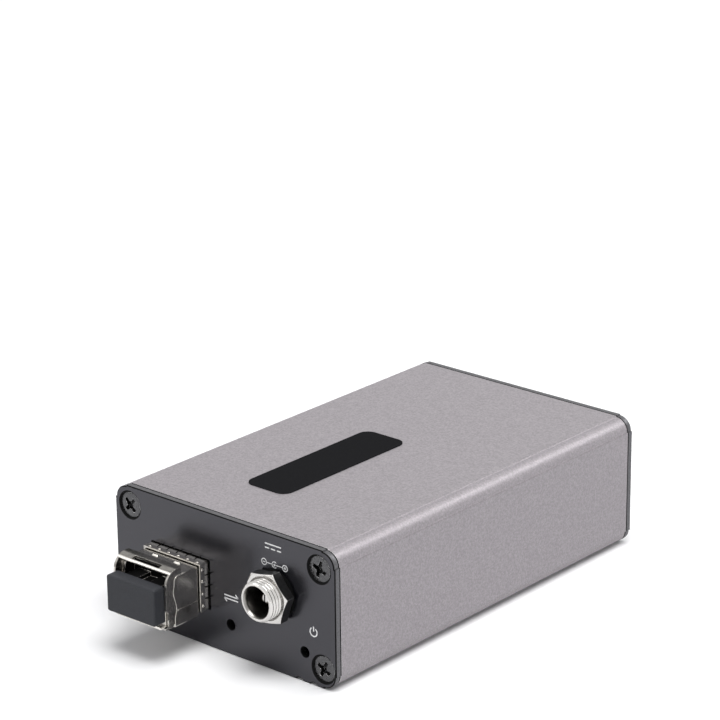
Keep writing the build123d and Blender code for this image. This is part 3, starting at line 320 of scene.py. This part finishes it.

# Spot welds: small buttons of melted steel that hold the strip to the cage, one in front of
# each spring finger, made bright with a painted highlight. There are six along its top and
# bottom and four up each side.
strip_low, strip_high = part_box("cage_spring_fingers")
weld_columns = 6
weld_rows = 4
weld_y = cage_low.y + 0.575 * mm
weld_radius = 0.30 * mm
weld_flatness = 0.3
weld_sink = Vector((0.06, 0.0, 0.06)) * mm
band_low = strip_low + weld_sink
band_high = strip_high - weld_sink
weld_places = []
for step in range(weld_columns):
    x = band_low.x + (step + 0.5) / weld_columns * (band_high.x - band_low.x)
    weld_places += [(x, band_low.z), (x, band_high.z)]
for step in range(weld_rows):
    z = band_low.z + (step + 0.5) / weld_rows * (band_high.z - band_low.z)
    weld_places += [(band_low.x, z), (band_high.x, z)]
welds = bmesh.new()
for x, z in weld_places:
    flattened = Matrix.Diagonal((
        weld_flatness if x in (band_low.x, band_high.x) else 1.0,
        1.0,
        weld_flatness if z in (band_low.z, band_high.z) else 1.0,
        1.0,
    ))
    bmesh.ops.create_icosphere(
        welds,
        subdivisions=3,
        radius=weld_radius,
        matrix=Matrix.Translation((x, weld_y, z)) @ flattened,
    )
for face in welds.faces:
    face.smooth = True


def laid_on(name, work, made):
    """A small piece with the shape built in work and one finish, laid on the housing."""
    shape = bpy.data.meshes.new(name)
    work.to_mesh(shape)
    work.free()
    shape.materials.append(made)
    piece = bpy.data.objects.new(name, shape)
    bpy.context.scene.collection.objects.link(piece)
    return piece


spot_welds = laid_on("spot_welds", welds, painted_highlight)
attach(spot_welds, "housing")

# Shade under the fingers: a thin black film on the cage, so that the slits between the
# fingers read as open slits into the dark gap behind them.
strip_height = 0.26 * mm
film_proud = 0.02 * mm
film_inset = 0.8 * mm
film_front = weld_y + 0.55 * mm
film_back = cage_low.y + 5.0 * mm
film_sink = Vector((strip_height - film_proud, 0.0, strip_height - film_proud))
film_low = strip_low + film_sink
film_high = strip_high - film_sink


def film_corners(low, high):
    """The corners of the film on one side of the cage, as (place along it, y)."""
    return (
        (low + film_inset, film_front),
        (high - film_inset, film_front),
        (high - film_inset, film_back),
        (low + film_inset, film_back),
    )


film = bmesh.new()
for z in (film_low.z, film_high.z):
    across = film_corners(film_low.x, film_high.x)
    film.faces.new([film.verts.new((x, y, z)) for x, y in across])
for x in (film_low.x, film_high.x):
    upward = film_corners(film_low.z, film_high.z)
    film.faces.new([film.verts.new((x, y, z)) for z, y in upward])
finger_shade = laid_on("finger_shade", film, black_and_painted_shade)
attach(finger_shade, "housing")

# Lamps: small side-looking packages of clear resin, soldered to the underside of the board,
# dark behind their holes while the box has no power.
resin = finish("lamp_resin", (0.55, 0.60, 0.52), 0.2, coat=0.2)
speckle(resin, 0.4 * mm, tone=0.08)
dress(resin, "link_lamp", "power_lamp")

# Plates: punched aluminium, anodised black to a fine satin, with a small bevel round the
# face. Four screws hold each one over an end of the tube.
satin_black = finish("black_anodised", (0.004, 0.004, 0.0058), 0.24, specular=0.74)
satin_shader = satin_black.node_tree.nodes["Principled BSDF"]
satin_shader.inputs["Specular Tint"].default_value = (0.92, 0.91, 1.0, 1.0)
speckle(satin_black, 1.6 * mm, tone=0.05)
speckle(satin_black, 0.16 * mm, tone=0.10, depth=0.004 * mm)
cut_edge = finish("cut_edge", (0.115, 0.114, 0.120), 0.45, metallic=0.9)
speckle(cut_edge, 0.35 * mm, tone=0.25)
plate_low, plate_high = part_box("front_plate")
upper_screw = (24.1 * mm, 23.6 * mm)
lower_screw = (24.9 * mm, 3.9 * mm)
screw_places = [(side * x, z) for side in (-1, 1) for x, z in (upper_screw, lower_screw)]
sink_reach = 2.95 * mm
rim_depth = 1.3 * mm


def plate_face(face):
    """Countersinks, bevels and the walls of holes take painted shade in dull black, and the cut
    outer edge is greyer.
    """
    place = face.calc_center_median()
    flat = abs(face.normal.y) > 0.95
    side_on = abs(face.normal.y) < 0.2
    if flat:
        return 0
    if min(math.hypot(place.x - x, place.z - z) for x, z in screw_places) < sink_reach:
        return 2
    outside = (
        min(place.x - plate_low.x, plate_high.x - place.x) < rim_depth
        or min(place.z - plate_low.z, plate_high.z - place.z) < rim_depth
    )
    return 3 if outside and side_on else 2


# The plates' rounded edges take painted shade in dull black as well.
for plate in ("front_plate", "rear_plate"):
    eased(
        plate,
        satin_black,
        width=0.06 * mm,
        edge=black_and_painted_shade,
        others=(black_and_painted_shade, cut_edge),
        face_of=plate_face,
    )

# Marks on the front plate: thin white ink. A two-way arrow stands beside the link lamp, a
# power sign beside the power lamp, and the supply's sign and polarity above the socket.
ink_face = plate_low.y - 0.015 * mm
ink_back = plate_low.y + 0.010 * mm
ink_width = 0.26 * mm
mitre_limit = 0.4


def ink_line(work, points, width=ink_width, closed=False):
    """A line of ink of even width through points given as (x, z), with mitred corners."""
    count = len(points)
    sides = []
    for index, point in enumerate(points):
        here = Vector(point)
        before = Vector(points[index - 1]) if index or closed else here
        after = Vector(points[(index + 1) % count]) if index < count - 1 or closed else here
        entry = (here - before).normalized() if (here - before).length else None
        leave = (after - here).normalized() if (after - here).length else None
        entry = entry or leave
        leave = leave or entry
        mitre = Vector((-(entry.y + leave.y), entry.x + leave.x)).normalized()
        reach = width / 2 / max(mitre_limit, mitre.dot(Vector((-entry.y, entry.x))))
        sides.append((here + mitre * reach, here - mitre * reach))
    rings = []
    for left, right in sides:
        section = ((left, ink_face), (right, ink_face), (right, ink_back), (left, ink_back))
        rings.append([work.verts.new((corner.x, y, corner.y)) for corner, y in section])
    for index in range(count if closed else count - 1):
        one, two = rings[index], rings[(index + 1) % count]
        for corner in range(4):
            following = (corner + 1) % 4
            work.faces.new((one[corner], one[following], two[following], two[corner]))
    if not closed:
        work.faces.new(rings[0][::-1])
        work.faces.new(rings[-1])


def level_line(work, start, end, z, width=ink_width):
    """A level line of ink."""
    ink_line(work, [(start, z), (end, z)], width)


def arc_points(x, z, radius, start, sweep, steps=24):
    """Points along an arc on the plate, by angles in degrees."""
    angles = [math.radians(start + sweep * step / steps) for step in range(steps + 1)]
    return [(x + radius * math.cos(angle), z + radius * math.sin(angle)) for angle in angles]


def ring(work, x, z, radius, width):
    """A closed ring of ink."""
    ink_line(work, arc_points(x, z, radius, 0, 360)[:-1], width, closed=True)


marks = bmesh.new()
link_x, link_z = 2.0 * mm, 11.65 * mm
link_reach = 1.75 * mm
link_apart = 0.32 * mm
link_barb = 0.62 * mm
for side in (-1, 1):
    tip_x = link_x + side * link_reach
    tip_z = link_z + side * link_apart
    level_line(marks, link_x - side * link_reach, tip_x, tip_z)
    barb_end = (tip_x - side * link_barb, tip_z + side * link_barb)
    ink_line(marks, [barb_end, (tip_x, tip_z)])

power_x, power_z = 22.6 * mm, 10.75 * mm
power_radius = 0.85 * mm
power_start = 125
power_sweep = 290
power_stem = (0.15 * mm, 1.1 * mm)
ink_line(marks, arc_points(power_x, power_z, power_radius, power_start, power_sweep))
ink_line(marks, [(power_x, power_z + height) for height in power_stem])

supply_x, supply_z = 12.9 * mm, 24.9 * mm
supply_half = 2.0 * mm
supply_apart = 0.42 * mm
dash_half = 0.26 * supply_half
dash_pitch = 0.74 * supply_half
level_line(marks, supply_x - supply_half, supply_x + supply_half, supply_z + supply_apart)
for dash in (-1, 0, 1):
    dash_x = supply_x + dash * dash_pitch
    level_line(marks, dash_x - dash_half, dash_x + dash_half, supply_z - supply_apart)

polarity_z = 21.5 * mm
polarity_pitch = 2.6 * mm
polarity_radius = 0.60 * mm
polarity_width = 0.18 * mm
sign_arm = 0.34 * mm
dot_radius = 0.14 * mm
dot_width = 0.22 * mm
gap_start = 45
gap_sweep = 270
centre_x = barrel_middle.x
minus_x = centre_x - polarity_pitch
plus_x = centre_x + polarity_pitch
for x in (minus_x, plus_x):
    ring(marks, x, polarity_z, polarity_radius, polarity_width)
    level_line(marks, x - sign_arm, x + sign_arm, polarity_z, polarity_width)
upright = [(plus_x, polarity_z - sign_arm), (plus_x, polarity_z + sign_arm)]
ink_line(marks, upright, polarity_width)
open_ring = arc_points(centre_x, polarity_z, polarity_radius, gap_start, gap_sweep)
ink_line(marks, open_ring, polarity_width)
ring(marks, centre_x, polarity_z, dot_radius, dot_width)
for start, end in (
    (minus_x + polarity_radius, centre_x - polarity_radius),
    (centre_x + dot_radius, plus_x - polarity_radius),
):
    level_line(marks, start, end, polarity_z, polarity_width)
bmesh.ops.recalc_face_normals(marks, faces=marks.faces)
white_ink = finish("white_ink", (0.80, 0.80, 0.80), 0.55)
speckle(white_ink, 0.2 * mm, tone=0.06)
front_marks = laid_on("front_marks", marks, white_ink)
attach(front_marks, "housing")

# Nut and washer: the socket's hexagon nut is brass, nickel plated, pulled up on a black
# washer against the plate. Its six flats are darkened with a painted reflection of the
# dark plate.
nut_flat_painted_reflection = finish("dark_flat", (0.10, 0.10, 0.10), 0.30, metallic=1.0)
speckle(nut_flat_painted_reflection, 0.5 * mm, tone=0.15)


def nut_face(face):
    """The flats of the nut take the painted dark reflection."""
    side_on = abs(face.normal.y) < 0.05
    return 2 if side_on else 0


eased(
    "jack_nut",
    nickel,
    width=0.09 * mm,
    others=(nut_flat_painted_reflection,),
    face_of=nut_face,
)
dress(black_and_painted_shade, "jack_washer")

# Screws: steel, countersunk, cross recessed and blackened, four at each end, driven into
# the tube's corner channels. The edges of their heads and recesses take a painted highlight.
black_oxide = finish("black_screw", (0.095, 0.095, 0.098), 0.26, metallic=0.9)
speckle(black_oxide, 0.3 * mm, tone=0.25, gloss=0.08)
screw_painted_highlight = finish("screw_painted_highlight", (0.72, 0.72, 0.72), 0.25, metallic=1.0)
speckle(screw_painted_highlight, 0.5 * mm, tone=0.4)


def screw_face(face):
    """The flanks of the heads, under their crowns, take painted shade in dull black."""
    flank = abs(face.normal.y) < 0.8
    return 2 if flank else 0


for screws in ("front_screws", "rear_screws"):
    eased(
        screws,
        black_oxide,
        width=0.09 * mm,
        edge=screw_painted_highlight,
        others=(black_and_painted_shade,),
        face_of=screw_face,
    )

# Badge: a thin plastic film with round corners, printed satin black all over and stuck
# flat on the top of the tube. It is bare.
badge = finish("black_badge", (0.014, 0.014, 0.015), 0.55, specular=0.0)
speckle(badge, 0.25 * mm, tone=0.12)
dress(badge, "top_label")

# Fibre module: a zinc die casting and a folded cover, plated dark nickel, that slide into
# the cage together. The casting's edges take a painted highlight.
dark_nickel = finish("dark_nickel", (0.50, 0.48, 0.45), 0.24, metallic=1.0)
speckle(dark_nickel, 0.8 * mm, tone=0.06, gloss=0.03)
dress(dark_nickel, "module_cover", "release_strip")
base_low, base_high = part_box("module_base")
base_middle = (base_low.x + base_high.x) / 2
lip_depth = 0.75 * mm
hollow_back = plate_low.y - 6.4 * mm
hollow_floor = 14.3 * mm
hollow_half = 5.85 * mm
crease_z = 10.4 * mm
crease_near = 0.2 * mm
crease_half = 6.7 * mm
crease_share = 0.3


def base_face(face):
    """The hollow over the ports takes painted shade, and the lip under them a painted highlight.
    """
    place = face.calc_center_median()
    if place.y < base_low.y + lip_depth:
        return 3
    inside = abs(place.x - base_middle) < hollow_half
    return 2 if inside and place.y < hollow_back and place.z > hollow_floor else 0


def base_edge_share(side):
    """The fine crease along each side of the nose is rounded less than the other edges."""
    off_crease = any(
        abs(corner.co.z - crease_z) > crease_near or abs(corner.co.x - base_middle) < crease_half
        for corner in side.verts
    )
    return 1.0 if off_crease else crease_share


eased(
    "module_base",
    dark_nickel,
    width=0.10 * mm,
    body="module",
    edge=painted_highlight,
    others=(black_and_painted_shade, painted_highlight),
    share_of=base_edge_share,
    face_of=base_face,
)

# Bail: one stamped and bent piece of the same dark plated steel, sprung over the nose on
# two pressed-in stubs, with a rolled edge to pull on.
shaded_nickel = finish("shaded_nickel", (0.24, 0.23, 0.215), 0.24, metallic=1.0)
speckle(shaded_nickel, 0.8 * mm, tone=0.15, gloss=0.03)
bead_y = -55.01 * mm
bead_z = 17.90 * mm
bead_reach = 0.45 * mm


def bail_face(face):
    """The rolled edge takes a painted highlight, and faces that look up take painted shade."""
    place = face.calc_center_median()
    looks_up = face.normal.z > 0.25
    if math.hypot(place.y - bead_y, place.z - bead_z) < bead_reach:
        return 1
    return 2 if looks_up else 0


# The bail's sharp edges take the painted highlight as well.
eased(
    "bail_latch",
    dark_nickel,
    width=0.10 * mm,
    body="bail",
    edge=painted_highlight,
    others=(shaded_nickel,),
    face_of=bail_face,
)

# Dust plug: soft charcoal rubber, moulded in one piece with a thick head and two square
# pins, which are pushed into the two fibre ports.
rubber = finish("plug_rubber", (0.019, 0.0205, 0.0255), 0.58, specular=0.36)
speckle(rubber, 1.5 * mm, tone=0.06)
speckle(rubber, 0.25 * mm, tone=0.12, depth=0.012 * mm)
eased("dust_plug", rubber, width=0.12 * mm, body="plug")

# Studio: a white floor that brightens until it meets an even white surround, a large soft
# lamp overhead, a weaker one to the left of the camera and one behind for the right edge.
floor_drop = 0.05 * mm
floor_half = 3.0
glow_from, glow_to = 0.25, 1.6
near_glow, far_glow = 0.03, 0.9
floor_mesh = bpy.data.meshes.new("studio_floor")
floor_mesh.from_pydata(
    [
        (x * floor_half, y * floor_half, -floor_drop)
        for x, y in ((-1, -1), (1, -1), (1, 1), (-1, 1))
    ],
    [],
    [(0, 1, 2, 3)],
)
floor = bpy.data.objects.new("studio_floor", floor_mesh)
bpy.context.scene.collection.objects.link(floor)


def either(tree, one, other):
    """1 where at least one of two values is 1."""
    larger = tree.nodes.new("ShaderNodeMath")
    larger.operation = "MAXIMUM"
    tree.links.new(one, larger.inputs[0])
    tree.links.new(other, larger.inputs[1])
    return larger.outputs["Value"]


paper = bpy.data.materials.new("white_paper")
paper.use_nodes = True
tree = paper.node_tree
tree.nodes.clear()
matt = tree.nodes.new("ShaderNodeBsdfDiffuse")
matt.inputs["Color"].default_value = (0.90, 0.90, 0.905, 1.0)
glow = tree.nodes.new("ShaderNodeEmission")
glow.inputs["Color"].default_value = (1.0, 1.0, 1.0, 1.0)
rays = tree.nodes.new("ShaderNodeLightPath")
seen = either(tree, rays.outputs["Is Camera Ray"], rays.outputs["Is Glossy Ray"])
place = tree.nodes.new("ShaderNodeTexCoord")
distance = tree.nodes.new("ShaderNodeVectorMath")
distance.operation = "LENGTH"
rise = tree.nodes.new("ShaderNodeMapRange")
rise.interpolation_type = "SMOOTHSTEP"
rise.inputs["From Min"].default_value = glow_from
rise.inputs["From Max"].default_value = glow_to
rise.inputs["To Min"].default_value = near_glow
rise.inputs["To Max"].default_value = far_glow
lift = tree.nodes.new("ShaderNodeMath")
lift.operation = "MULTIPLY"
both = tree.nodes.new("ShaderNodeAddShader")
output = tree.nodes.new("ShaderNodeOutputMaterial")
tree.links.new(place.outputs["Object"], distance.inputs[0])
tree.links.new(distance.outputs["Value"], rise.inputs["Value"])
tree.links.new(seen, lift.inputs[0])
tree.links.new(rise.outputs["Result"], lift.inputs[1])
tree.links.new(lift.outputs["Value"], glow.inputs["Strength"])
tree.links.new(matt.outputs["BSDF"], both.inputs[0])
tree.links.new(glow.outputs["Emission"], both.inputs[1])
tree.links.new(both.outputs["Shader"], output.inputs["Surface"])
floor_mesh.materials.append(paper)

surround = bpy.data.worlds.new("studio_surround")
surround.use_nodes = True
tree = surround.node_tree
tree.nodes.clear()
rays = tree.nodes.new("ShaderNodeLightPath")
seen = either(tree, rays.outputs["Is Camera Ray"], rays.outputs["Is Glossy Ray"])
through_too = either(tree, seen, rays.outputs["Is Transmission Ray"])
lighting = tree.nodes.new("ShaderNodeBackground")
lighting.inputs["Color"].default_value = (0.97, 0.975, 1.0, 1.0)
lighting.inputs["Strength"].default_value = 0.38
backdrop = tree.nodes.new("ShaderNodeBackground")
backdrop.inputs["Color"].default_value = (1.0, 1.0, 1.0, 1.0)
backdrop.inputs["Strength"].default_value = 1.0
choice = tree.nodes.new("ShaderNodeMixShader")
output = tree.nodes.new("ShaderNodeOutputWorld")
tree.links.new(through_too, choice.inputs["Fac"])
tree.links.new(lighting.outputs["Background"], choice.inputs[1])
tree.links.new(backdrop.outputs["Background"], choice.inputs[2])
tree.links.new(choice.outputs["Shader"], output.inputs["Surface"])
bpy.context.scene.world = surround


def soft_lamp(name, place, target, size, power):
    """A square soft box that faces a point."""
    light = bpy.data.lights.new(name, "AREA")
    light.shape = "SQUARE"
    light.size = size
    light.energy = power
    lamp = bpy.data.objects.new(name, light)
    bpy.context.scene.collection.objects.link(lamp)
    lamp.location = place
    lamp.rotation_euler = (Vector(target) - Vector(place)).to_track_quat("-Z", "Y").to_euler()


middle = (cad_box[0] + cad_box[1]) / 2
soft_lamp("key_lamp", (0.25, -0.10, 1.15), middle, 0.7, 12.5)
soft_lamp("fill_lamp", (-0.75, -0.70, 0.60), middle, 0.6, 1.5)
soft_lamp("rim_lamp", (0.40, 0.80, 0.70), middle, 0.4, 3.6)

bpy.context.scene.view_settings.view_transform = "Standard"
